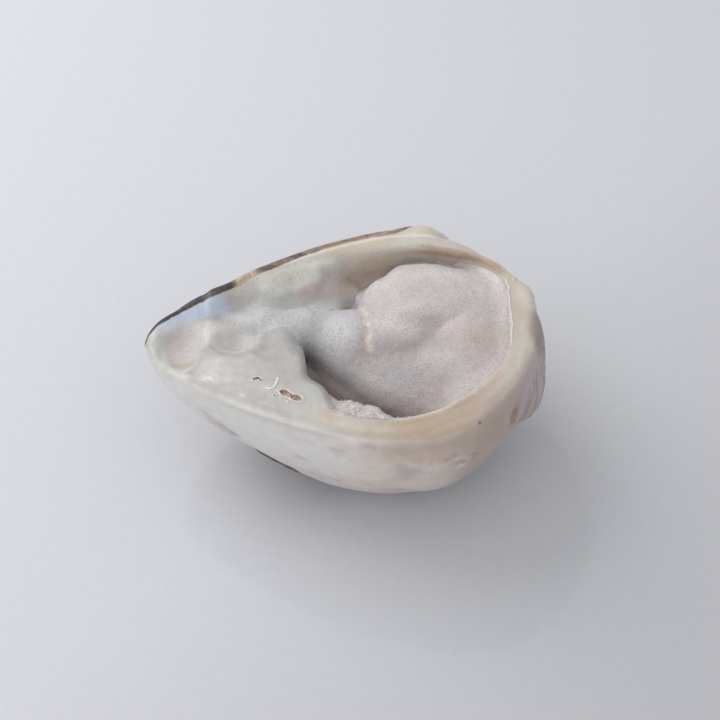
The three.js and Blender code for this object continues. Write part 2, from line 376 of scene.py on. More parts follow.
def covered(field, low, high, step):
    """Points and quads of the surface where the field is 0: one point in each cell it crosses."""
    axes = [np.arange(a, b + step, step) for a, b in zip(low, high)]
    shape = tuple(len(a) for a in axes)
    grid = np.stack([g.ravel() for g in np.meshgrid(*axes, indexing="ij")], 1)
    F = np.concatenate([field(part) for part in np.array_split(grid, 8)]).reshape(shape)
    inside = F < 0
    count = sum(
        inside[i : shape[0] - 1 + i, j : shape[1] - 1 + j, k : shape[2] - 1 + k].astype(int)
        for i in (0, 1) for j in (0, 1) for k in (0, 1)
    )
    cells = np.argwhere((count > 0) & (count < 8))
    number = np.full(count.shape, -1)
    number[tuple(cells.T)] = np.arange(len(cells))
    total, hits = np.zeros((len(cells), 3)), np.zeros(len(cells))
    quads = []
    for axis in range(3):
        side, up = (axis + 1) % 3, (axis + 2) % 3
        unit = np.eye(3, dtype=int)
        for i in (0, 1):
            for j in (0, 1):
                start = unit[side] * i + unit[up] * j
                a = F[tuple((cells + start).T)]
                b = F[tuple((cells + start + unit[axis]).T)]
                crossed = (a < 0) != (b < 0)
                t = np.where(crossed, a / np.where(crossed, a - b, 1), 0)
                total += crossed[:, None] * (start + t[:, None] * unit[axis])
                hits += crossed
        first = np.take(inside, range(shape[axis] - 1), axis)
        last = np.take(inside, range(1, shape[axis]), axis)
        edges = np.argwhere(first != last)
        ok = (edges[:, side] > 0) & (edges[:, up] > 0)
        ok &= (edges[:, side] < shape[side] - 1) & (edges[:, up] < shape[up] - 1)
        edges = edges[ok]
        corners = [
            number[tuple((edges - unit[side] * i - unit[up] * j).T)]
            for i, j in ((1, 1), (0, 1), (0, 0), (1, 0))
        ]
        quad = np.stack(corners, 1)
        outward = first[tuple(edges.T)]
        quads.append(np.where(outward[:, None], quad, quad[:, ::-1]))
    P = np.array(low) + (cells + total / hits[:, None]) * step
    return P, np.concatenate(quads)


def slope(field, P, reach=0.02):
    here = field(P)
    return here, np.stack([(field(P + reach * axis) - here) / reach for axis in np.eye(3)], 1)


def pulled(field, P, step):
    """Moves the points towards the surface, by a step at most."""
    here, steepness = slope(field, P)
    move = here / np.maximum((steepness**2).sum(1), 0.1)
    return P - np.clip(move, -step, step)[:, None] * steepness


def facing(field, P):
    """The way that the surface faces at each point."""
    _, steepness = slope(field, P)
    return steepness / np.linalg.norm(steepness, axis=1)[:, None]


def settled(field, P, quads, step, rounds=2):
    """Evens the points out over the surface and puts them on it."""
    for _ in range(rounds):
        middle, uses = np.zeros_like(P), np.zeros(len(P))
        for i in range(4):
            for j in (1, 3):
                np.add.at(middle, quads[:, i], P[quads[:, (i + j) % 4]])
                np.add.at(uses, quads[:, i], 1)
        P = pulled(field, 0.5 * P + 0.5 * middle / uses[:, None], step)
    return P


def refined(P, quads, levels_at):
    """Halves the faces where finer detail is needed, and makes all of them triangles."""
    mesh = bpy.data.meshes.new("refined")
    mesh.from_pydata(P.tolist(), [], quads.tolist())
    bm = bmesh.new()
    bm.from_mesh(mesh)
    levels = levels_at(P)
    for level in range(1, int(levels.max()) + 1):
        if level > 1:
            levels = levels_at(np.array([point.co for point in bm.verts]))
        wanted = levels >= level
        bm.verts.index_update()
        edges = [e for e in bm.edges if wanted[e.verts[0].index] and wanted[e.verts[1].index]]
        bmesh.ops.subdivide_edges(bm, edges=edges, cuts=1, use_grid_fill=True)
    bmesh.ops.triangulate(bm, faces=bm.faces[:])
    bm.verts.index_update()
    P = np.array([point.co for point in bm.verts])
    faces = np.array([[point.index for point in face.verts] for face in bm.faces])
    bm.free()
    bpy.data.meshes.remove(mesh)
    return P, faces


def put_in_scene(name, data):
    thing = bpy.data.objects.new(name, data)
    bpy.context.scene.collection.objects.link(thing)
    return thing


def make_piece(name, P, faces, masks):
    """A smooth mesh piece from points in mm on the shell's axes, with named values on its points."""
    mesh = bpy.data.meshes.new(name)
    mesh.vertices.add(len(P))
    mesh.vertices.foreach_set("co", ((P - SEAT) * MM).astype(np.float32).ravel())
    mesh.loops.add(faces.size)
    mesh.loops.foreach_set("vertex_index", faces.astype(np.int32).ravel())
    mesh.polygons.add(len(faces))
    corners = faces.shape[1]
    mesh.polygons.foreach_set("loop_start", np.arange(0, faces.size, corners, dtype=np.int32))
    mesh.polygons.foreach_set("use_smooth", np.ones(len(faces), bool))
    mesh.update(calc_edges=True)
    mesh.validate()
    for mask, values in masks.items():
        if values.ndim == 2:
            data = mesh.attributes.new(mask, "FLOAT_COLOR", "POINT").data
            values = np.concatenate([values, np.ones((len(values), 1))], 1)
            data.foreach_set("color", values.astype(np.float32).ravel())
        else:
            data = mesh.attributes.new(mask, "FLOAT", "POINT").data
            data.foreach_set("value", values.astype(np.float32))
    return put_in_scene(name, mesh)


# ---- Relief and colour of the stone -------------------------------------------------------------


def paint(red, green, blue):
    """A colour given as it looks on a screen, 0 to 255, as the linear values that shaders use."""
    c = np.array([red, green, blue]) / 255
    return np.where(c <= 0.04045, c / 12.92, ((c + 0.055) / 1.055) ** 2.4)


FACE_GREY = paint(151, 149, 146)
FACE_ROSE = paint(159, 149, 144)
FACE_BLUE = paint(170, 176, 180)
RIDGE_WHITE = paint(204, 201, 195)
WALL_WHITE = paint(217, 214, 211)
WALL_BEIGE = paint(216, 204, 195)
WALL_ROSE = paint(186, 167, 158)
WALL_MAUVE = paint(186, 174, 176)
PEACH = paint(210, 184, 170)
CHALK = paint(222, 217, 214)
WALL_DARK = paint(150, 138, 140)
SPIRE_LILAC = paint(200, 202, 212)
BAND_TAN = paint(182, 165, 148)
BAND_ORANGE = paint(186, 162, 138)
BAND_ROSE = paint(190, 172, 162)
RIM_CREAM = paint(196, 189, 179)
RIM_OLIVE = paint(195, 182, 164)
CORNER_OLIVE = paint(200, 196, 178)
FLANK_MAUVE = paint(186, 171, 168)
FLANK_LILAC = paint(186, 172, 178)
FLANK_RED = paint(166, 132, 124)
WHORL_PALE_AND_PAINTED_LIGHT = paint(212, 206, 201)
WHORL_ROSE = paint(196, 185, 184)
WHORL_SAND = paint(172, 159, 145)
WHORL_BLUE = paint(172, 174, 177)
WHORL_SHADE = paint(142, 130, 129)
WHORL_PAINTED_SHADE = paint(158, 147, 146)
LOBE_CREAM = paint(224, 214, 197)
NECK_LILAC = paint(198, 197, 199)
NECK_GREY = paint(190, 190, 192)
GAP_PAINTED_SHADE = paint(108, 90, 86)
HOLLOW_PAINTED_SHADE = paint(182, 160, 154)
TROUGH_TAUPE = paint(204, 190, 176)
TROUGH_BROWN = paint(162, 140, 120)
FAR_WHITE = paint(216, 214, 206)
LIP_CREAM = paint(206, 193, 182)
RIM_PALE = paint(216, 208, 200)
RIM_SHADE = paint(150, 134, 126)
RIM_TAN = paint(190, 173, 150)
TROUGH_ORANGE = paint(192, 166, 144)
LUMP_FAWN = paint(170, 152, 138)
LUMP_WHITE = paint(170, 154, 149)
LUMP_ROSE = paint(166, 145, 140)
SLOPE_GREY = paint(182, 182, 180)
SLOPE_BROWN = paint(164, 154, 146)
FAR_CREAM = paint(198, 191, 181)
SPIRE_BLUE = paint(184, 198, 216)
TIP_CREAM = paint(184, 186, 178)
CHAMBER_ROSE = paint(198, 191, 189)
CHAMBER_TAN = paint(178, 160, 144)
PILLAR_GREY = paint(182, 180, 177)
RIDGE_PALE = paint(212, 209, 205)
LEDGE_ROSE = paint(216, 208, 203)
PIT_GREY = paint(112, 103, 99)
PIT_BROWN = paint(164, 142, 122)


def patch(P, at, half, soft=0.6):
    """1 inside an oval place on the shell and 0 outside it, with a soft border."""
    d = np.linalg.norm((P - np.array(at, float)) / np.array(half, float), axis=1)
    return ease(1, 1 - soft, d)


def near_line(P, points):
    """Distance in plan from a line drawn through these points."""
    best = np.full(len(P), FAR_AWAY)
    for a, b in zip(points, points[1:]):
        a, b = np.array(a, float), np.array(b, float)
        t = np.clip(((P[:, :2] - a) @ (b - a)) / ((b - a) @ (b - a)), 0, 1)
        best = np.minimum(best, np.linalg.norm(P[:, :2] - a - t[:, None] * (b - a), axis=1))
    return best


def layered(base, *coats):
    """Colours laid one over another, each with its share at each point."""
    out = base + np.zeros((len(coats[0][0]), 1))
    for share, colour in coats:
        out = out + share[:, None] * (colour - out)
    return out


def skin_field(P):
    """More than 0, in mm, where the natural outer skin is left, and less where it was ground off."""
    x, y, z = P.T
    far_width = np.interp(
        x, [-23, -19, -14.5, -10, -5, 0, 5.0, 7.5, 9.5, 24],
        [0.55, 0.95, 1.2, 1.0, 0.8, 0.65, 0.65, 0.4, -0.4, -0.8])
    far = outside(P) + far_width
    low_edge = np.interp(
        x, [-23, -14, -11.5, -10, -8, -5.5, -3.5, 3, 12, 24],
        [12.0, 9.5, 10.5, 11.2, 11.1, 10.0, 5.5, 2.5, 3.5, 9.0])
    near = low_edge - z
    round_tip = ease(-20.5, -21.8, x)
    by_side = ease(0.5 - 1.6 * round_tip, 3.0 - 3.1 * round_tip, y)
    return near + (far - near) * by_side


def lip_line(P):
    """The thin white line along the lip, where the crystals end."""
    x, y, _ = P.T
    wander = 0.3 + 0.15 * noise(P, 0.8, 19)
    here = ease(0.13, 0.05, np.abs(hollows(P) - wander))
    return here * ease(16.0, 17.0, x) * ease(-3.5, -1.5, y) * ease(7.6, 7.0, y)


def skin_dark(P):
    """How much darker the skin is: nearly black round the tip, and dark again on the near side."""
    x, y, _ = P.T
    rusty = np.exp(-(((x + 11.4) / 1.2) ** 2))
    return 0.19 * ease(-12.4, -13.6, x) - 0.10 * rusty + 0.10 * ease(0, -6, y)


def suture_field(P):
    """Distance along the shell from the spiral groove between the whorls."""
    x, y, z = P.T
    along = np.clip((x - MIDDLE_X + LENGTH / 2) / LENGTH, 0.001, 1)
    angle = np.arctan2(z - section(x)[2], y)
    phase = np.sqrt(along) * SUTURE_TURNS - angle / (2 * math.pi)
    return (phase - np.round(phase)) * (LENGTH / SUTURE_TURNS) * np.sqrt(along), along, angle


def pit_shape(P):
    """Depth share of the pits, and of the white crust round them."""
    hole, ring = np.zeros(len(P)), np.zeros(len(P))
    ragged = 0.3 * noise(P, 0.32, 51) + 0.12 * noise(P, 0.15, 52)
    for x, y, half_length, half_width, turn in PITS:
        c, s = math.cos(math.radians(turn)), math.sin(math.radians(turn))
        u, v = P[:, 0] - x, P[:, 1] - y
        r = np.hypot((u * c + v * s) / half_length, (v * c - u * s) / half_width)
        gap = (r - 1) * min(half_length, half_width) * 1.3
        edge = gap + 0.32 * ragged
        hole = np.maximum(hole, ease(0.04, -0.1, edge))
        ring = np.maximum(ring, ease(0.24, 0.1, edge))
    return hole, ring * (1 - hole)


def masks_of(P):
    """What lies where on the stone: each mask is 0 to 1 unless it is a distance in mm."""
    under = -above_cut(P)
    in_hollow = ease(0.7, 0.25, np.abs(open_space(P)))
    on_cut = ease(0.5, 0.12, under) * (1 - in_hollow)
    druzy = ease(1.4, 0.3, inner_whorl(P)) * ease(0.45, 0.05, ragged_lip(P))
    to_ledge = ball(P, *SIDE_LEDGE) + ease(9.0, 10.5, P[:, 0])
    to_ledge = np.minimum(ball(P, *NEAR_LEDGE), to_ledge)
    ledge = in_hollow * ease(1.6, 0.2, to_ledge) * ease(-4.0, -2.4, P[:, 0])
    ledge = ledge * ease(10.5, 8.5, P[:, 0]) * ease(12.5, 14.5, P[:, 2])
    return {
        "wall": -outside(P), "under": under, "in_hollow": in_hollow,
        "lip": lip_line(P) * ease(1.5, 1.0, under),
        "on_cut": on_cut, "druzy": druzy * in_hollow, "ledge": ledge, "skin": skin_field(P),
    }


def whorl_tint(P):
    """Colour of the sugary crystals on the whorl and its neck, with painted light and painted shade."""
    x, y, z = P.T
    wander = layered_noise(P, 4.5, 3, 12)
    rest, lobe = whorl_parts(P)
    meeting = np.abs(rest - lobe)
    crease = ease(1.0, 0.1, meeting) * ease(3.6, 1.8, y) * ease(4, 7, x)
    lobe_edge = ease(0.7, 0.1, meeting) * ease(3.6, 2.6, x)
    lobe_edge = lobe_edge * ease(0.0, 0.4, noise(P, 0.6, 15) + 0.3)
    in_gap = ease(16.2, 12.8, z) * ease(9, 2, x) * ease(-5.5, -2.5, x)

    def spot(at, half, share, colour):
        return patch(P, at, half, 1.0) * share, colour

    return layered(
        WHORL_ROSE,
        (ease(-0.3, 0.7, wander) * 0.5, WHORL_PALE_AND_PAINTED_LIGHT),
        # painted light: the far side of the whorl is lighter
        (ease(4.5, 10, y) * 0.85, WHORL_PALE_AND_PAINTED_LIGHT),
        spot((15.4, -1.8, 19.3), (5.0, 4.8, 4.2), 0.7, WHORL_SAND),
        spot((6.5, -4.0, 15.5), (6.0, 3.6, 5), 0.6, WHORL_BLUE),
        (ease(3.2, 0.5, x) * 0.9, NECK_LILAC),
        (ease(-3.0, -6.0, x) * 0.9, NECK_GREY),
        # painted shade: darker patches on the whorl's near slope and on its low flank by the neck
        spot((13.3, -5.2, 17.6), (8.0, 4.6, 3.6), 1, WHORL_PAINTED_SHADE),
        spot((7.0, -0.8, 17.0), (4.6, 3.6, 4.0), 0.5, WHORL_PAINTED_SHADE),
        spot((12.2, -0.9, 18.2), (3.6, 2.6, 3.0), 0.7, WHORL_PAINTED_SHADE),
        spot((3.4, -1.0, 16.9), (5.5, 4.4, 3.6), 0.8, WHORL_PAINTED_SHADE),
        # painted light on the middle of the whorl
        spot((8.8, 3.8, 19.2), (3.2, 2.8, 3.0), 0.5, WHORL_PALE_AND_PAINTED_LIGHT),
        # painted shade along the crease under the lobe
        (crease * 0.35, WHORL_SHADE),
        # painted shade, low down in the gaps beside the whorl
        (in_gap * 0.95, GAP_PAINTED_SHADE),
        (ease(13, 9, z) * 0.6, GAP_PAINTED_SHADE),
        (lobe_edge * 0.8, LOBE_CREAM),
    )


def stone_tint(P, m):
    """Colour of the chalcedony at each point, with painted shade in hollows, before its material's finer
    mottling.
    """
    x, y, z = P.T
    wander = layered_noise(P, 4.0, 3, 5)
    ripple = layered_noise(P, 1.1, 3, 9)
    veins = ease(0.17, 0.05, np.abs(layered_noise(P, 0.9, 2, 61)))
    streaks = layered_noise(P * [0.45, 1, 1], 1.6, 3, 14)
    upright = ease(0.0, 0.5, layered_noise(P * [1, 1, 0.2], 0.8, 2, 16))
    inside, cut, under = m["in_hollow"], m["on_cut"], m["under"]
    outer = (1 - np.maximum(cut, inside)) * ease(2.4, 1.4, m["wall"])
    near = ease(2, -3, y)
    near_cut = near * cut
    far_rim = ease(-1, 4, y) * (1 - inside)
    to_blue = near_line(P, BLUE_LINE)

    def spot(at, half, where, share, colour, soft=1.0):
        """A soft oval coat of this colour, laid where the mask says."""
        return patch(P, at, half, soft) * where * share, colour

    near_ridge = near * ease(1, -3, x) * np.exp(-(((under - 0.5) / 0.5) ** 2)) * (1 - inside)
    near_edge = near * outer * ease(4.5, 0.6, under + ripple)
    near_edge = near_edge * ease(0, 7, x) * ease(17, 13, x)
    cracks = np.maximum(veins, ease(0.2, 0.4, ripple))
    network = veins * ease(-0.2, 0.1, streaks)
    out = layered(
        FACE_GREY,
        # near face
        spot((-5.2, -4.5, 19.3), (3.0, 6.0, 2), cut, 0.6, FACE_ROSE),
        (ease(0.1, 0.7, wander) * cut * 0.35, FACE_ROSE),
        spot((-4.6, -8.0, 19.3), (2.2, 2.0, 2), cut, 0.6, FACE_BLUE),
        spot((-13.6, -4.6, 18.8), (4.0, 2.6, 2), cut, 0.3, RIDGE_WHITE, 0.6),
        # outside
        (outer, WALL_WHITE),
        (outer * ease(-3, 4, x + 2 * wander) * 0.85, WALL_BEIGE),
        (outer * ease(8, 16, x + 1.5 * wander), WALL_ROSE),
        (outer * ease(15, 5, z) * 0.45, WALL_ROSE),
        (outer * ease(0.15, 0.6, streaks) * 0.55, WALL_MAUVE),
        (outer * ease(-0.2, -0.6, streaks) * ease(-8, 0, x) * 0.5, WALL_ROSE),
        spot((-13.4, -8.5, 12.6), (2.6, 2.5, 1.6), outer, 0.7, WALL_MAUVE, 0.6),
        spot((7.7, -16.2, 15.2), (4.2, 3, 1.5), outer * ease(-0.5, 0.3, ripple), 0.6, WALL_MAUVE, 0.6),
        spot((9.9, -15.9, 17.3), (2.8, 2, 1.4), outer * ease(-0.3, 0.0, ripple), 0.8, PEACH, 0.5),
        spot((12.8, -15.0, 15.4), (1.5, 2, 1.1), outer * ease(-0.1, 0.1, ripple), 0.6, CHALK, 0.4),
        spot((0.2, -15.0, 15.9), (2.4, 2, 1.4), outer * cracks, 0.5, CHALK, 0.5),
        spot((4.5, -15.3, 13.5), (5.0, 3, 1.4), outer * ease(0.0, 0.4, ripple), 0.4, CHALK, 0.6),
        spot((12.2, -15.0, 16.3), (4.6, 3, 2.2), outer * network, 0.6, WALL_DARK, 0.5),
        spot((10.5, -15.6, 16.0), (4.6, 3, 1.6), outer * ease(0.25, 0.4, ripple), 0.35, CHALK, 0.5),
        # near rim
        (near_ridge * 0.9, RIDGE_WHITE),
        (near_edge * 0.7, BAND_TAN),
        (near_cut * ease(-7, -1, x + 1.5 * wander) * ease(4.0, 2.0, m["wall"]), RIM_CREAM),
        (near_cut * ease(-1, 6.5, x + 1.5 * wander), BAND_TAN),
        spot((-1.5, -12.0, 19.5), (2.4, 1.6, 1.5), near_cut, 0.6, BAND_TAN),
        spot((8.6, -13.4, 20), (4.4, 2.2, 2), near_cut, 0.7, BAND_ORANGE),
        spot((3.6, -13.6, 20), (3.0, 1.5, 2), near_cut * ease(-0.5, 0.4, ripple), 0.45, CORNER_OLIVE),
        (near_cut * ease(0.05, 0.5, ripple) * ease(4, 8, x) * 0.4, BAND_ORANGE),
        (near_cut * ease(12.5, 15, x) * 0.8, BAND_ROSE),
        (ease(4, 0, y) * cut * ease(16, 18, x), RIM_CREAM),
        # base flank
        (outer * ease(17, 20.5, x), FLANK_MAUVE),
        (outer * ease(19.5, 21, x) * upright * 0.6, FLANK_LILAC),
        spot((18.9, -9.7, 16.8), (1.0, 1.2, 2.7), 1, 0.8, FLANK_RED, 0.6),
        # far rim
        (far_rim, FAR_CREAM),
        (far_rim * ease(12.5, 15, x), RIM_OLIVE),
        (far_rim * ease(-6, 0, x) * ease(8, 3, x) * 0.5, RIM_TAN),
        spot((8.4, 16.2, 19.4), (4.6, 1.5, 2), ease(14.6, 15.2, y), 0.9, CORNER_OLIVE, 0.6),
        spot((9.8, 15.6, 19.5), (1.7, 1.8, 1.8), 1, 0.7, RIM_TAN),
        spot((21.0, 4.6, 19.8), (2.6, 3.4, 2.2), 1 - inside, 1, RIM_PALE, 0.8),
        spot((22.1, -0.4, 20.0), (2.1, 4.0, 2.4), 1 - inside, 0.85, RIM_SHADE, 0.5),
        # spire
        (ease(3.2, 0.4, to_blue) * ease(-12.5, -15, x) * 0.45, SPIRE_LILAC),
        (ease(1.5, 0.3, to_blue) * 0.75, SPIRE_BLUE),
        spot((-21.3, -1.2, 18.2), (1.5, 2.8, 3), 1, 0.9, TIP_CREAM),
        spot((-19.0, -4.6, 18.0), (2.6, 1.8, 1.8), 1, 0.7, TIP_CREAM),
    )
    deep = inside * ease(3.2, 6.5, under + 0.8 * wander)
    behind = inside * ease(7.5, 10.0, y) * ease(-1.5, 1.5, x)
    lip = inside * ease(4, 7, x) * ease(6, 2, y) * ease(2.4, 0.8, under)
    shaded = inside * ease(1.3, 0.3, near_line(P, FAR_SHADE)) * ease(1.8, 0.8, under)
    bare = inside * (1 - m["ledge"])
    hollow = layered(
        out,
        (lip, LIP_CREAM),
        (inside * ease(4.5, 6.5, y) * ease(1, -2, x), SLOPE_GREY),
        spot((-3.6, 9.9, 16.6), (4.6, 3.2, 2.8), inside, 0.5, LUMP_ROSE),
        spot((-12.4, 7.0, 17.3), (4.2, 2.4, 2.0), inside, 0.35, SLOPE_BROWN),
        spot((-4.7, 9.4, 17.0), (4.2, 2.8, 2.4), inside * ease(-0.8, 0.2, ripple), 0.8, LUMP_ROSE),
        (inside * ease(2.6, 0.4, under) * ease(6, 9, y) * 0.7, FAR_CREAM),
        (behind * ease(0.2, 1.4, under), TROUGH_TAUPE),
        (behind * ease(8, 11, x) * ease(2.4, 0.6, under), TROUGH_ORANGE),
        (shaded * 0.85, TROUGH_BROWN),
        (inside * ease(1.8, 0.5, near_line(P, FAR_LIGHT)), FAR_WHITE),
        spot((-0.2, 10.2, 16.1), (2.1, 2.2, 2.2), inside, 0.9, LUMP_FAWN),
        spot((-2.4, 9.0, 16.4), (1.9, 1.6, 1.8), inside, 0.9, LUMP_WHITE),
        spot((-2.5, 11.4, 17.8), (1.8, 1.6, 1.6), inside, 0.6, LUMP_ROSE),
        # chambers of the spire
        (inside * ease(-8.8, -10, x) * ease(4.2, 3.0, y), CHAMBER_ROSE),
        (inside * ease(-15.8, -16.6, x) * ease(-2.2, -3.6, y) * 0.8, CHAMBER_TAN),
        spot((-15.5, 1.4, 18.2), (1.2, 3.6, 1.3), 1, 0.8, RIDGE_PALE, 0.6),
        (ease(1.7, 0.3, to_blue) * inside * 0.75, SPIRE_BLUE),
        spot((-12.8, -1.9, 18.8), (2.4, 0.5, 0.8), 1, 0.6, CORNER_OLIVE),
        # painted shade, brownish, growing where the hollows run deep
        (deep * (1 - m["druzy"] * 0.4), HOLLOW_PAINTED_SHADE),
        (m["ledge"], LEDGE_ROSE),
        spot((-12.0, 1.8, 17.2), (2.8, 3.6, 2.4), inside, 0.8, RIDGE_PALE),
        spot((-7.4, -0.2, 17.8), (2.9, 4.4, 2.6), 1, 1, PILLAR_GREY, 0.8),
        # painted shade in the gap under the near face
        spot((-1.0, -5.0, 13.4), (7.0, 5.5, 4.4), bare, 0.95, GAP_PAINTED_SHADE, 0.6),
    )
    hollow = hollow + m["druzy"][:, None] * (whorl_tint(P) - hollow)
    # agate banding on the ground faces, pits, and the white lines along the lip
    bands = np.sin(hollows(P) * 5.0 + 2.0 * wander) * near_cut * 0.035
    hollow = hollow * (1 + bands[:, None])
    hole, ring = pit_shape(P)
    hook = ease(0.17, 0.08, near_line(P, HOOK)) * cut
    face_line = ease(0.25, 0.05, np.abs(m["wall"] - 0.9)) * cut
    face_line = face_line * ease(8, 12, y) * ease(14, 9, x)
    crumbs = noise(P, 0.3, 17)
    return layered(
        hollow,
        (ring * cut * 0.95, CHALK),
        (hook * 0.95, CHALK),
        (hole * cut * ease(-8.3, -8.9, x), PIT_GREY),
        (hole * cut * ease(-8.9, -8.3, x), PIT_BROWN),
        (m["lip"] * 0.95, CHALK),
        spot(*LIP_CRUMB, ease(-0.2, 0.1, crumbs), 0.9, CHALK, 0.6),
        spot(*LIP_CRUMB, ease(0.0, -0.3, crumbs), 0.8, PIT_GREY, 0.6),
        spot(*SPECK, 1, 0.9, PIT_GREY, 0.6),
        (face_line * 0.7, CHALK),
    )


def shell_relief(P, m):
    """How far the finished surface stands out from the plain form, in mm."""
    x, y, z = P.T
    off, along, angle = suture_field(P)
    skin = ease(-0.3, 0.6, m["skin"])
    cut = m["on_cut"]
    outer = 1 - np.maximum(cut, m["in_hollow"])
    near = ease(1, -3, y)
    groove = SUTURE_DEPTH * ease(0.04, 0.15, along) * np.exp(-((off / SUTURE_WIDTH) ** 2))
    groove *= ease(1.5, 4.5, m["under"])
    lines = np.sin(angle * GROWTH_LINES + 1.3 * x + 2.2 * layered_noise(P, 5.0, 2, 3))
    weathered = layered_noise(P, 2.2, 3, 21)
    ground_off = 0.10 * layered_noise(P, 3.0, 3, 25) + 0.02 * noise(P, 0.6, 26)
    relief = -groove * outer * (0.35 + 0.65 * skin)
    relief += outer * skin * (GROWTH_LINE_HEIGHT * lines + WEATHERING * weathered)
    relief += outer * (1 - skin) * ground_off
    # a low white ridge with a fine groove over it, along the near rim
    along_rim = near * ease(-14.5, -12, x) * ease(1, -3, x)
    relief += along_rim * 0.22 * np.exp(-(((m["under"] - 0.45) / 0.26) ** 2))
    faint = np.sin(8.5 * m["wall"] + 1.2 * noise(P, 3.0, 28)) * near * ease(-11, -16, x)
    relief += faint * 0.01 * ease(2.2, 1.4, m["wall"]) * (1 - m["in_hollow"])
    for at, half, depth in CHIPS:
        relief -= depth * patch(P, at, half) * (0.7 + 0.5 * noise(P, 0.7, 36))
    # growth plates at the base: thin upright steps of uneven width and height
    upright = P * [1, 1, 0.22]
    steps = (PLATES_PER_MM * y + 1.1 * layered_noise(upright, 2.8, 3, 31)) % 1.0
    steps = steps * (PLATE_HEIGHT + 0.13 * noise(upright, 2.2, 34))
    relief -= outer * ease(19.3, 21.6, x) * ease(19.8, 18, z) * steps
    relief += m["in_hollow"] * hollow_relief(P)
    relief += m["ledge"] * (LEDGE_LUMPS * layered_noise(P, 1.5, 3, 33) + 0.12)
    hole, ring = pit_shape(P)
    hook = ease(0.2, 0.06, near_line(P, HOOK))
    pit_floor = PIT_DEPTH * hole * (0.75 + 0.4 * noise(P, 0.25, 37))
    relief += cut * (0.05 * ring + 0.05 * hook - pit_floor)
    relief += m["lip"] * 0.10
    return relief + cut * 0.025 * noise(P, 2.5, 35)


def hollow_relief(P):
    """The gentle waves and grain of the surfaces inside the hollows."""
    calm = 1 - 0.7 * ease(2, -2, P[:, 0]) * ease(7.5, 5.5, P[:, 1])
    return calm * (0.13 * layered_noise(P, 2.6, 3, 27) + 0.03 * noise(P, 0.5, 29))


def shell_detail(P):
    """How many times the mesh is halved at each point, for detail finer than its step."""
    x, y, z = P.T
    under, wall = -above_cut(P), -outside(P)
    to_pits = np.min([np.hypot(x - pit[0], y - pit[1]) - max(pit[2:4]) for pit in PITS], axis=0)
    to_pits = np.minimum(to_pits, near_line(P, HOOK))
    to_pits = np.maximum(to_pits, under - 0.6)
    by_lip = (x > 16.5) & (y > -3.5) & (y < 8)
    to_lip = np.where(by_lip, np.abs(hollows(P) - 0.3) + np.maximum(under - 1.0, 0), FAR_AWAY)
    edge = (under < 1.2) & (wall < 1.3)
    flank = (x > 19.0) & (y < 3) & (z > 9)
    level = np.where(edge | flank, 1, 0)
    level = np.maximum(level, np.where(to_lip < 0.4, 2, 0))
    level = np.maximum(level, np.where(to_pits < 0.9, 1, 0) + np.where(to_pits < 0.55, 1, 0))
    return level + np.where(to_pits < 0.35, 1, 0)


def make_shell():
    P, quads = covered(shell_solid, *SHELL_ROOM, SHELL_STEP)
    P = settled(shell_solid, P, quads, SHELL_STEP)
    P, faces = refined(P, quads, shell_detail)
    for _ in range(2):
        P = pulled(shell_solid, P, SHELL_STEP / 4)
    m = masks_of(P)
    tint = stone_tint(P, m)
    P = P + shell_relief(P, m)[:, None] * facing(shell_solid, P)
    return make_piece("fossil_shell_stone", P, faces, {
        "tint": tint, "skin": m["skin"], "skin_dark": skin_dark(P),
        "sugar": np.clip(m["in_hollow"] * 0.8 + m["druzy"] + m["ledge"], 0, 1),
        "polish": m["on_cut"],
        "cover_hollow": m["in_hollow"] * (1 - m["ledge"]) * (1 - m["druzy"]),
        "cover_ledge": m["ledge"],
    })


def make_lining():
    P, quads = covered(lining_solid, *CRUST_ROOM, CRUST_STEP)
    P = settled(lining_solid, P, quads, CRUST_STEP)
    outer_side = ease(-0.55, -0.3, stone(P))
    P = P + (outer_side * hollow_relief(P))[:, None] * facing(lining_solid, P)
    covered_share = outer_side * ease(0.35, 0.65, lined(P))
    clusters = 0.02 + 0.20 * ease(0.1, 0.5, layered_noise(P, 2.4, 2, 44))
    return make_piece("druzy_lining", P, quads, {
        "tint": whorl_tint(P), "sugar": np.ones(len(P)),
        "cover": covered_share, "glints": covered_share * clusters,
    })


# ---- Crystals, scattered by Geometry Nodes ------------------------------------------------------

# Piece, where it stands, then spacing, width and height in mm, lean and seed.
CRYSTALS = [
    ("whorl_crystals", "cover", 0.24, 0.13, 0.125, 0.35, 11),
    ("glinting_crystals", "glints", 0.6, 0.15, 0.42, 0.7, 14),
    ("hollow_crystals", "cover_hollow", 0.3, 0.11, 0.095, 0.4, 12),
    ("ledge_crystals", "cover_ledge", 0.30, 0.20, 0.42, 0.8, 13),
]
MOST_CRYSTALS = 4.0e7  # to a square metre, before the spacing thins them
CRYSTAL_SUNK = 0.55  # share of a point's height by which its middle is sunk
CRYSTAL_SCALES = (0.6, 1.35)


def place(tree, kind, values=None, **settings):
    """Adds a node with these settings, and sets or links its inputs by name or number."""
    made = tree.nodes.new(kind)
    for name, value in settings.items():
        setattr(made, name, value)
    for name, value in (values or {}).items():
        socket = made.inputs[name]
        if isinstance(value, bpy.types.NodeSocket):
            tree.links.new(value, socket)
        else:
            socket.default_value = value
    return made


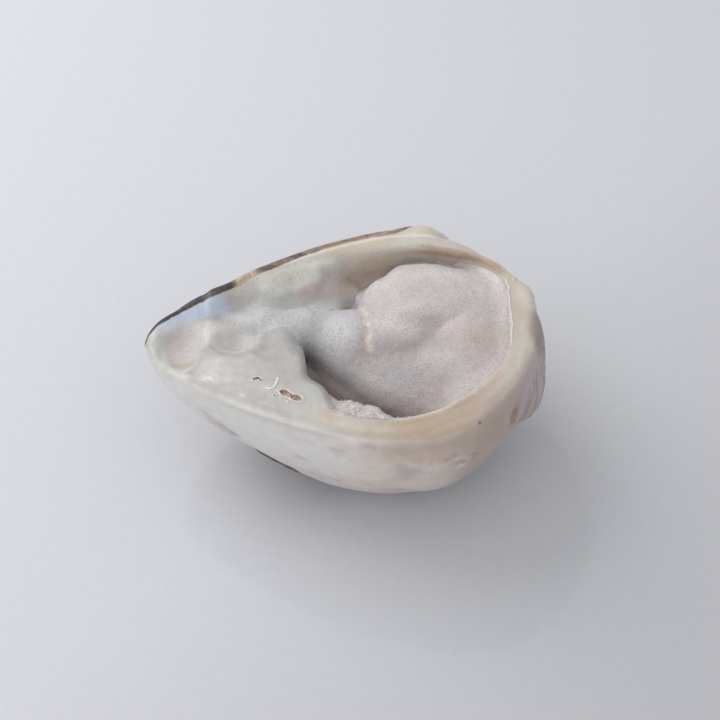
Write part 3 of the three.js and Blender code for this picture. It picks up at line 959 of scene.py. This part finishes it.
def crystal_tree():
    """Stands small six-sided crystal points all over a surface, where the attribute Cover is high."""
    tree = bpy.data.node_groups.new("Crystal points", "GeometryNodeTree")
    face = tree.interface
    face.new_socket("Geometry", in_out="OUTPUT", socket_type="NodeSocketGeometry")
    for name, kind in (
        ("Geometry", "Geometry"), ("Cover", "String"), ("Spacing", "Float"), ("Width", "Float"),
        ("Height", "Float"), ("Lean", "Float"), ("Seed", "Int"), ("Material", "Material"),
    ):
        face.new_socket(name, in_out="INPUT", socket_type="NodeSocket" + kind)
    given = place(tree, "NodeGroupInput").outputs

    def between(low, high, seed, kind="FLOAT"):
        """A random value for each crystal."""
        ends = (0, 1) if kind == "FLOAT_VECTOR" else (2, 3)
        values = {ends[0]: low, ends[1]: high, "Seed": seed}
        made = place(tree, "FunctionNodeRandomValue", values, data_type=kind)
        return made.outputs[0 if kind == "FLOAT_VECTOR" else 1]

    def times(value, factor):
        return place(tree, "ShaderNodeMath", {0: value, 1: factor}, operation="MULTIPLY").outputs[0]

    def vector(**parts):
        return place(tree, "ShaderNodeCombineXYZ", parts).outputs[0]

    cover = place(tree, "GeometryNodeInputNamedAttribute", {"Name": given["Cover"]}, data_type="FLOAT")
    spread = place(tree, "GeometryNodeDistributePointsOnFaces", {
        "Mesh": given["Geometry"], "Distance Min": given["Spacing"], "Density Max": MOST_CRYSTALS,
        "Density Factor": cover.outputs["Attribute"], "Seed": given["Seed"],
    }, distribute_method="POISSON")
    cone = place(tree, "GeometryNodeMeshCone", {
        "Vertices": 6, "Side Segments": 1, "Fill Segments": 1, "Radius Top": 0.0,
        "Radius Bottom": given["Width"], "Depth": given["Height"],
    }, fill_type="NGON")
    point = place(tree, "GeometryNodeTransform", {
        "Geometry": cone.outputs["Mesh"], "Translation": vector(Z=times(given["Height"], -CRYSTAL_SUNK))})
    back = times(given["Lean"], -1.0)
    lean = between(
        vector(X=back, Y=back), vector(X=given["Lean"], Y=given["Lean"], Z=2 * math.pi), 3, "FLOAT_VECTOR")
    leaned = place(tree, "FunctionNodeEulerToRotation", {0: lean})
    turned = place(tree, "FunctionNodeRotateRotation", {
        0: spread.outputs["Rotation"], 1: leaned.outputs[0]}, rotation_space="LOCAL")
    stood = place(tree, "GeometryNodeInstanceOnPoints", {
        "Points": spread.outputs["Points"], "Instance": point.outputs[0],
        "Rotation": turned.outputs[0], "Scale": between(*CRYSTAL_SCALES, 5)})
    marked = place(tree, "GeometryNodeStoreNamedAttribute", {
        "Geometry": stood.outputs[0], "Name": "grain", "Value": between(0.0, 1.0, 7),
    }, data_type="FLOAT", domain="INSTANCE")
    real = place(tree, "GeometryNodeRealizeInstances", {0: marked.outputs[0]})
    coloured = place(tree, "GeometryNodeSetMaterial", {
        "Geometry": real.outputs[0], "Material": given["Material"]})
    place(tree, "NodeGroupOutput", {0: coloured.outputs[0]})
    return tree


def grow_crystals(name, ground, tree, material, cover, sizes):
    """A piece of real crystals stood on the ground piece's surface; the ground piece is unchanged."""
    carrier = put_in_scene(name + "_carrier", ground.data)
    modifier = carrier.modifiers.new("Crystals", "NODES")
    modifier.node_group = tree
    sockets = {s.name: s.identifier for s in tree.interface.items_tree if s.in_out == "INPUT"}
    spacing, width, height, lean, seed = sizes
    for label, value in (
        ("Cover", cover), ("Spacing", spacing * MM), ("Width", width * MM), ("Height", height * MM),
        ("Lean", lean), ("Seed", seed), ("Material", material),
    ):
        modifier[sockets[label]] = value
    bpy.context.view_layer.update()
    evaluated = carrier.evaluated_get(bpy.context.evaluated_depsgraph_get())
    mesh = bpy.data.meshes.new_from_object(evaluated)
    mesh.name = name
    carrier.modifiers.remove(modifier)
    bpy.data.objects.remove(carrier)
    print(name, len(mesh.polygons), "faces")
    return put_in_scene(name, mesh)


# ---- Materials ----------------------------------------------------------------------------------

QUARTZ_IOR = 1.54
BUMP_DEPTH = 0.0001
STONE_SUGAR, CRUST_SUGAR = 0.26, 0.2  # size in mm of the finest grains
STONE_LIGHT = (0.25, (0.0012, 0.001, 0.0009))  # share of light let in, and its depth by colour
CRYSTAL_LIGHT = (0.7, (0.0008, 0.0008, 0.0008))
# The natural skin from its near black to its palest tan.
SKIN_BROWNS = [
    (0.30, paint(62, 57, 58)), (0.42, paint(98, 82, 72)), (0.50, paint(136, 115, 97)),
    (0.60, paint(172, 147, 121)), (0.74, paint(196, 180, 160)),
]


def calc(tree, operation, a, b=0.0, c=0.0):
    made = place(tree, "ShaderNodeMath", {0: a, 1: b, 2: c}, operation=operation)
    return made.outputs[0]


def blend_colour(tree, share, a, b, mode="MIX"):
    made = place(tree, "ShaderNodeMix", {0: share, 6: a, 7: b}, data_type="RGBA", blend_type=mode)
    return made.outputs[2]


def grain_of(tree, where, size_mm, detail=3.0, rough=0.55, skew=0.0):
    return place(tree, "ShaderNodeTexNoise", {
        "Vector": where, "Scale": 1 / (size_mm * MM), "Detail": detail, "Roughness": rough,
        "Distortion": skew,
    }).outputs[0]


def spread_over(tree, value, low, high, to_low=0.0, to_high=1.0):
    made = place(tree, "ShaderNodeMapRange", {0: value, 1: low, 2: high, 3: to_low, 4: to_high}, clamp=True)
    return made.outputs[0]


def ramp(tree, value, stops):
    made = place(tree, "ShaderNodeValToRGB", {0: value})
    bar = made.color_ramp.elements
    while len(bar) < len(stops):
        bar.new(0.5)
    for mark, (at, colour) in zip(bar, stops):
        mark.position = at
        mark.color = (*colour, 1)
    return made.outputs[0]


def dimmed(tree, colour, factor):
    """A colour made darker or lighter by this factor."""
    grey = place(tree, "ShaderNodeCombineColor", {0: factor, 1: factor, 2: factor}).outputs[0]
    return blend_colour(tree, 1.0, colour, grey, "MULTIPLY")


def named(tree, name, output="Fac"):
    """The value that each point carries under this name."""
    return place(tree, "ShaderNodeAttribute", attribute_name=name).outputs[output]


def effect(name, inputs, outputs):
    """An empty shader node group with these sockets: name, kind and, for inputs, a starting value."""
    tree = bpy.data.node_groups.new(name, "ShaderNodeTree")
    for label, kind, value in inputs:
        socket = tree.interface.new_socket(label, in_out="INPUT", socket_type="NodeSocket" + kind)
        if value is not None:
            socket.default_value = value
    for label, kind in outputs:
        tree.interface.new_socket(label, in_out="OUTPUT", socket_type="NodeSocket" + kind)
    return tree, place(tree, "NodeGroupInput").outputs


def clouding_effect():
    """Cloudy bands and specks inside a translucent mineral: it shifts a colour lighter and darker."""
    tree, given = effect(
        "Clouding",
        [("Where", "Vector", None), ("Colour", "Color", (0.6, 0.6, 0.6, 1)), ("Amount", "Float", 0.1)],
        [("Colour", "Color")],
    )
    broad = grain_of(tree, given["Where"], 4.5, 4, 0.6, 0.6)
    fine = grain_of(tree, given["Where"], 0.7, 3, 0.6)
    both = calc(tree, "ADD", calc(tree, "MULTIPLY", broad, 0.65), calc(tree, "MULTIPLY", fine, 0.35))
    swing = calc(tree, "MULTIPLY", calc(tree, "SUBTRACT", both, 0.5), given["Amount"])
    warm = spread_over(tree, grain_of(tree, given["Where"], 2.6, 3, 0.5), 0.45, 0.75, 0, 0.25)
    tinted = dimmed(tree, given["Colour"], calc(tree, "MULTIPLY_ADD", swing, 2.2, 1.0))
    warmed = blend_colour(tree, warm, tinted, (*paint(205, 190, 172), 1), "MULTIPLY")
    place(tree, "NodeGroupOutput", {0: blend_colour(tree, 0.5, tinted, warmed)})
    return tree


def sugar_effect():
    """The grain of a sugary crystal surface: a height for bump, and a mask of glinting facets."""
    tree, given = effect(
        "Sugar grain",
        [("Where", "Vector", None), ("Size mm", "Float", 0.25)],
        [("Height", "Float"), ("Facets", "Float")],
    )
    scale = calc(tree, "DIVIDE", 1 / MM, given["Size mm"])
    cells = place(tree, "ShaderNodeTexVoronoi", {"Vector": given["Where"], "Scale": scale})
    finer = calc(tree, "MULTIPLY", scale, 2.3)
    finer = place(tree, "ShaderNodeTexVoronoi", {"Vector": given["Where"], "Scale": finer})
    bumps = calc(tree, "SUBTRACT", 1.0, cells.outputs["Distance"])
    bumps = calc(tree, "ADD", bumps, calc(tree, "MULTIPLY", finer.outputs["Distance"], -0.4))
    facet = place(tree, "ShaderNodeSeparateColor", {0: cells.outputs["Color"]}).outputs[0]
    place(tree, "NodeGroupOutput", {0: bumps, 1: facet})
    return tree


def new_material(name):
    material = bpy.data.materials.new(name)
    material.use_nodes = True
    tree = material.node_tree
    tree.nodes.clear()
    where = place(tree, "ShaderNodeTexCoord").outputs["Object"]
    return material, tree, where


def clouded(tree, clouding, where, colour, amount):
    values = {"Where": where, "Colour": colour, "Amount": amount}
    return place(tree, "ShaderNodeGroup", values, node_tree=clouding).outputs[0]


def sugar_grain(tree, sugar, where, size_mm):
    return place(tree, "ShaderNodeGroup", {"Where": where, "Size mm": size_mm}, node_tree=sugar).outputs


def bumped(tree, height, strength):
    values = {"Strength": strength, "Distance": BUMP_DEPTH, "Height": height}
    return place(tree, "ShaderNodeBump", values).outputs[0]


def finish_material(tree, colour, roughness, **more):
    """Closes a material. Inputs of the shader are named with _ for each space."""
    values = {name.replace("_", " "): value for name, value in more.items()}
    values.update({"Base Color": colour, "Roughness": roughness})
    shader = place(tree, "ShaderNodeBsdfPrincipled", values)
    place(tree, "ShaderNodeOutputMaterial", {"Surface": shader.outputs[0]})


def finish_quartz(tree, colour, roughness, share, depths, **more):
    """Closes a material that lets light in a little: its share, and how deep red, green and blue go."""
    finish_material(
        tree, colour, roughness, Subsurface_Weight=share, Subsurface_Radius=depths,
        Subsurface_Scale=1.0, IOR=QUARTZ_IOR, **more)


def chalcedony_material(clouding, sugar):
    material, tree, where = new_material("Chalcedony")
    sugary = named(tree, "sugar")
    body = clouded(tree, clouding, where, named(tree, "tint", "Color"), 0.16)
    # the natural skin: brown, tan and near black, in streaks along the growth lines
    ragged = calc(tree, "SUBTRACT", grain_of(tree, where, 1.1, 4, 0.65), 0.5)
    edge = calc(tree, "ADD", named(tree, "skin"), calc(tree, "MULTIPLY", ragged, 0.45))
    skin = spread_over(tree, edge, -0.05, 0.12)
    blotches = grain_of(tree, where, 3.2, 5, 0.62, 0.8)
    blotches = calc(tree, "SUBTRACT", blotches, named(tree, "skin_dark"))
    speckle = spread_over(tree, grain_of(tree, where, 0.45, 3, 0.6), 0.4, 0.62, 0.7, 1.08)
    skin_colour = dimmed(tree, ramp(tree, blotches, SKIN_BROWNS), speckle)
    colour = blend_colour(tree, skin, body, skin_colour)
    # roughness: polished face, waxy outside, sugary hollows, dull skin
    smear = grain_of(tree, where, 1.8, 3, 0.6)
    waxy = spread_over(tree, smear, 0.3, 0.7, 0.34, 0.5)
    rough = calc(tree, "ADD", waxy, calc(tree, "MULTIPLY", sugary, 0.14))
    rough = calc(tree, "SUBTRACT", rough, calc(tree, "MULTIPLY", named(tree, "polish"), 0.14))
    rough = calc(tree, "ADD", rough, calc(tree, "MULTIPLY", skin, 0.16))
    height = calc(tree, "MULTIPLY", sugar_grain(tree, sugar, where, STONE_SUGAR)["Height"], sugary)
    dull = calc(tree, "MULTIPLY_ADD", skin, 0.8, 0.12)
    dull = calc(tree, "MULTIPLY", grain_of(tree, where, 0.35, 4, 0.65), dull)
    normal = bumped(tree, calc(tree, "ADD", height, dull), 0.35)
    finish_quartz(tree, colour, rough, *STONE_LIGHT, Normal=normal)
    return material


def sugar_quartz_material(clouding, sugar):
    material, tree, where = new_material("Sugar quartz")
    body = clouded(tree, clouding, where, named(tree, "tint", "Color"), 0.12)
    crystal = sugar_grain(tree, sugar, where, CRUST_SUGAR)
    colour = dimmed(tree, body, spread_over(tree, crystal["Facets"], 0.0, 1.0, 0.9, 1.08))
    rough = spread_over(tree, crystal["Facets"], 0.0, 1.0, 0.3, 0.62)
    normal = bumped(tree, crystal["Height"], 0.2)
    finish_quartz(tree, colour, rough, *STONE_LIGHT, Normal=normal)
    return material


def crystal_material(name, colour, clouding, own_share=0.3):
    """Clear quartz points: they take up the colour of the ground they stand on, less their own share."""
    material, tree, where = new_material(name)
    ground = blend_colour(tree, own_share, named(tree, "tint", "Color"), (*colour, 1))
    grain = named(tree, "grain")
    body = clouded(tree, clouding, where, ground, 0.1)
    rough = spread_over(tree, grain, 0.0, 1.0, 0.08, 0.35)
    finish_quartz(
        tree, dimmed(tree, body, spread_over(tree, grain, 0.0, 1.0, 0.90, 1.02)), rough, *CRYSTAL_LIGHT)
    return material


def floor_material():
    material, tree, where = new_material("Pale floor")
    fibre = grain_of(tree, where, 1.2, 4, 0.6)
    tone = spread_over(tree, fibre, 0.3, 0.7, 0.97, 1.0)
    # painted shade: the floor grows darker towards the right and the near side
    place_on_floor = place(tree, "ShaderNodeSeparateXYZ", {0: where}).outputs
    to_the_right = calc(tree, "SUBTRACT", place_on_floor[0], place_on_floor[1])
    tone = calc(tree, "MULTIPLY", tone, spread_over(tree, to_the_right, 0.0, 0.075, 1.0, 0.80))
    finish_material(tree, dimmed(tree, (*FLOOR_COLOUR, 1), tone), 0.75)
    return material


# ---- Floor, light and camera --------------------------------------------------------------------

FLOOR_COLOUR, FLOOR_REACH = paint(210, 211, 216), 1.5
VIEW_ELEVATION, VIEW_DISTANCE = 50.0, 0.150
VIEW_LENS, VIEW_SENSOR, VIEW_NEAREST = 64.9, 36, 0.01
VIEW_AIM = (1.525 * MM, -0.555 * MM, 13.9 * MM)
SKY = ((0.97, 0.98, 1.0, 1), 0.66)
# Lights: place, width and strength, then colour.
LIGHTS = [
    ("window", (-0.17, 0.12, 0.22), 0.23, 0.355, (1.0, 0.99, 0.98)),
    ("fill", (-0.22, -0.16, 0.17), 0.46, 0.30, (0.98, 0.99, 1.0)),
    ("sparkle", (-0.12, 0.30, 0.42), 0.02, 0.12, (1, 1, 1)),
]
LIGHT_AIM = (0, 0, 0.01)


def make_floor():
    bm = bmesh.new()
    bmesh.ops.create_grid(bm, x_segments=8, y_segments=8, size=FLOOR_REACH)
    mesh = bpy.data.meshes.new("floor")
    bm.to_mesh(mesh)
    bm.free()
    mesh.materials.append(floor_material())
    floor = put_in_scene("floor", mesh)


def aim(thing, at):
    thing.rotation_euler = (Vector(at) - thing.location).to_track_quat("-Z", "Y").to_euler()


def make_light(name, place_at, size, power, colour):
    light = bpy.data.lights.new(name, "AREA")
    light.shape = "DISK"
    light.size = size
    light.energy = power
    light.color = colour
    thing = put_in_scene(name, light)
    thing.location = place_at
    aim(thing, LIGHT_AIM)


def make_lights():
    world = bpy.data.worlds.new("Studio")
    world.use_nodes = True
    sky = world.node_tree.nodes["Background"].inputs
    sky["Color"].default_value, sky["Strength"].default_value = SKY
    bpy.context.scene.world = world
    for light in LIGHTS:
        make_light(*light)
    bpy.context.scene.view_settings.view_transform = "Standard"


def make_camera():
    lens = bpy.data.cameras.new("camera")
    lens.lens = VIEW_LENS
    lens.sensor_width = VIEW_SENSOR
    lens.clip_start = VIEW_NEAREST
    camera = put_in_scene("camera", lens)
    tilt = math.radians(VIEW_ELEVATION)
    back = Vector((0, -math.cos(tilt), math.sin(tilt)))
    camera.location = Vector(VIEW_AIM) + VIEW_DISTANCE * back
    aim(camera, VIEW_AIM)
    bpy.context.scene.camera = camera


# ---- Putting it together ------------------------------------------------------------------------


def main():
    clouding, sugar = clouding_effect(), sugar_effect()
    shell = make_shell()
    shell.data.materials.append(chalcedony_material(clouding, sugar))
    lining = make_lining()
    lining.data.materials.append(sugar_quartz_material(clouding, sugar))
    print("shell", len(shell.data.polygons), "lining", len(lining.data.polygons) * 2)
    tree = crystal_tree()
    pale = crystal_material("Quartz points", paint(212, 205, 203), clouding)
    bright = crystal_material("Bright quartz points", paint(253, 252, 250), clouding, 0.95)
    crystals = [
        grow_crystals(name, ground, tree, material, cover, sizes)
        for (name, cover, *sizes), ground, material in zip(
            CRYSTALS, (lining, lining, shell, shell), (pale, bright, pale, pale))
    ]
    sugary = [(piece, "sugar_quartz") for piece in (lining, *crystals)]
    for piece, slot in [(shell, "chalcedony"), *sugary]:
        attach(piece, "root")
    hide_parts("fossil_shell")
    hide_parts("druzy_crust")
    make_floor()
    make_lights()
    make_camera()


main()
